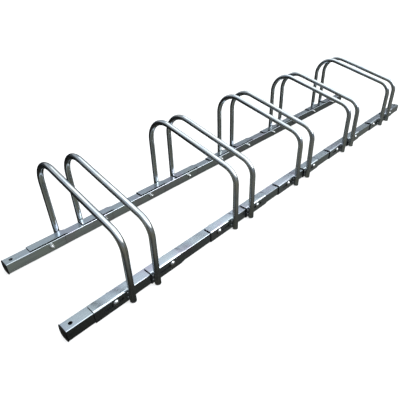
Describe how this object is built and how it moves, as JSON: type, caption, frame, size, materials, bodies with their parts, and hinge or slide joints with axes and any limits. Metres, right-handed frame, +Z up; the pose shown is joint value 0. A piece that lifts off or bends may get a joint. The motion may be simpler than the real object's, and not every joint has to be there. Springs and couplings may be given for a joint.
{
  "type": "bicycle floor rack",
  "caption": "Zinc-plated steel floor rack for bicycles: pairs of sloping tube hoops on two telescoping square rails with slotted, bolted joints and plastic end caps.",
  "frame": {"origin": "on the floor, at the middle of the rack's length and width", "axes": "+X along the rails, from the end where the plain tubes start to the other end; +Y from the low side of the hoops to the high side; +Z up"},
  "size_m": [1.697, 0.336, 0.244],
  "materials": {
    "hoop_zinc": "bright zinc plate on bent tube",
    "rail_zinc": "bright zinc plate on formed sheet and tube",
    "bolt_zinc": "bright zinc plate",
    "nut_zinc": "bright zinc plate",
    "cap_plastic": "fine-grained moulded black plastic"
  },
  "bodies": {
    "start_tubes": {"near_start_tube": "rail_zinc", "far_start_tube": "rail_zinc", "near_left_cap": "cap_plastic", "far_left_cap": "cap_plastic", "bolts_1": "bolt_zinc", "nuts_1": "nut_zinc"},
    "section_1": {"hoop_1": "hoop_zinc", "near_rail_1": "rail_zinc", "far_rail_1": "rail_zinc", "bolts_2": "bolt_zinc", "nuts_2": "nut_zinc"},
    "section_2": {"hoop_2": "hoop_zinc", "near_rail_2": "rail_zinc", "far_rail_2": "rail_zinc", "bolts_3": "bolt_zinc", "nuts_3": "nut_zinc"},
    "section_3": {"hoop_3": "hoop_zinc", "near_rail_3": "rail_zinc", "far_rail_3": "rail_zinc", "bolts_4": "bolt_zinc", "nuts_4": "nut_zinc"},
    "section_4": {"hoop_4": "hoop_zinc", "near_rail_4": "rail_zinc", "far_rail_4": "rail_zinc", "bolts_5": "bolt_zinc", "nuts_5": "nut_zinc"},
    "section_5": {"hoop_5": "hoop_zinc", "near_rail_5": "rail_zinc", "far_rail_5": "rail_zinc", "bolts_6": "bolt_zinc", "nuts_6": "nut_zinc"},
    "section_6": {"hoop_6": "hoop_zinc", "near_rail_6": "rail_zinc", "far_rail_6": "rail_zinc", "bolts_7": "bolt_zinc", "nuts_7": "nut_zinc"},
    "section_7": {"hoop_7": "hoop_zinc", "near_rail_7": "rail_zinc", "far_rail_7": "rail_zinc", "bolts_8": "bolt_zinc", "nuts_8": "nut_zinc"},
    "section_8": {"hoop_8": "hoop_zinc", "near_rail_8": "rail_zinc", "far_rail_8": "rail_zinc", "bolts_9": "bolt_zinc", "nuts_9": "nut_zinc"},
    "section_9": {"hoop_9": "hoop_zinc", "near_rail_9": "rail_zinc", "far_rail_9": "rail_zinc", "bolts_10": "bolt_zinc", "nuts_10": "nut_zinc"},
    "section_10": {"hoop_10": "hoop_zinc", "near_rail_10": "rail_zinc", "far_rail_10": "rail_zinc", "near_right_cap": "cap_plastic", "far_right_cap": "cap_plastic"}
  },
  "joints": [
    {"name": "spacing_slide_1", "type": "slide", "parent": "start_tubes", "child": "section_1", "axis": [1, 0, 0], "range_m": [0, 0.0253]},
    {"name": "spacing_slide_2", "type": "slide", "parent": "section_1", "child": "section_2", "axis": [1, 0, 0], "range_m": [0, 0.0374]},
    {"name": "spacing_slide_3", "type": "slide", "parent": "section_2", "child": "section_3", "axis": [1, 0, 0], "range_m": [0, 0.0064]},
    {"name": "spacing_slide_4", "type": "slide", "parent": "section_3", "child": "section_4", "axis": [1, 0, 0], "range_m": [0, 0.0235]},
    {"name": "spacing_slide_5", "type": "slide", "parent": "section_4", "child": "section_5", "axis": [1, 0, 0], "range_m": [0, 0.0266]},
    {"name": "spacing_slide_6", "type": "slide", "parent": "section_5", "child": "section_6", "axis": [1, 0, 0], "range_m": [0, 0.0374]},
    {"name": "spacing_slide_7", "type": "slide", "parent": "section_6", "child": "section_7", "axis": [1, 0, 0], "range_m": [0, 0.0283]},
    {"name": "spacing_slide_8", "type": "slide", "parent": "section_7", "child": "section_8", "axis": [1, 0, 0], "range_m": [0, 0.0374]},
    {"name": "spacing_slide_9", "type": "slide", "parent": "section_8", "child": "section_9", "axis": [1, 0, 0], "range_m": [0, 0.0056]},
    {"name": "spacing_slide_10", "type": "slide", "parent": "section_9", "child": "section_10", "axis": [1, 0, 0], "range_m": [0, 0.0374]}
  ]
}
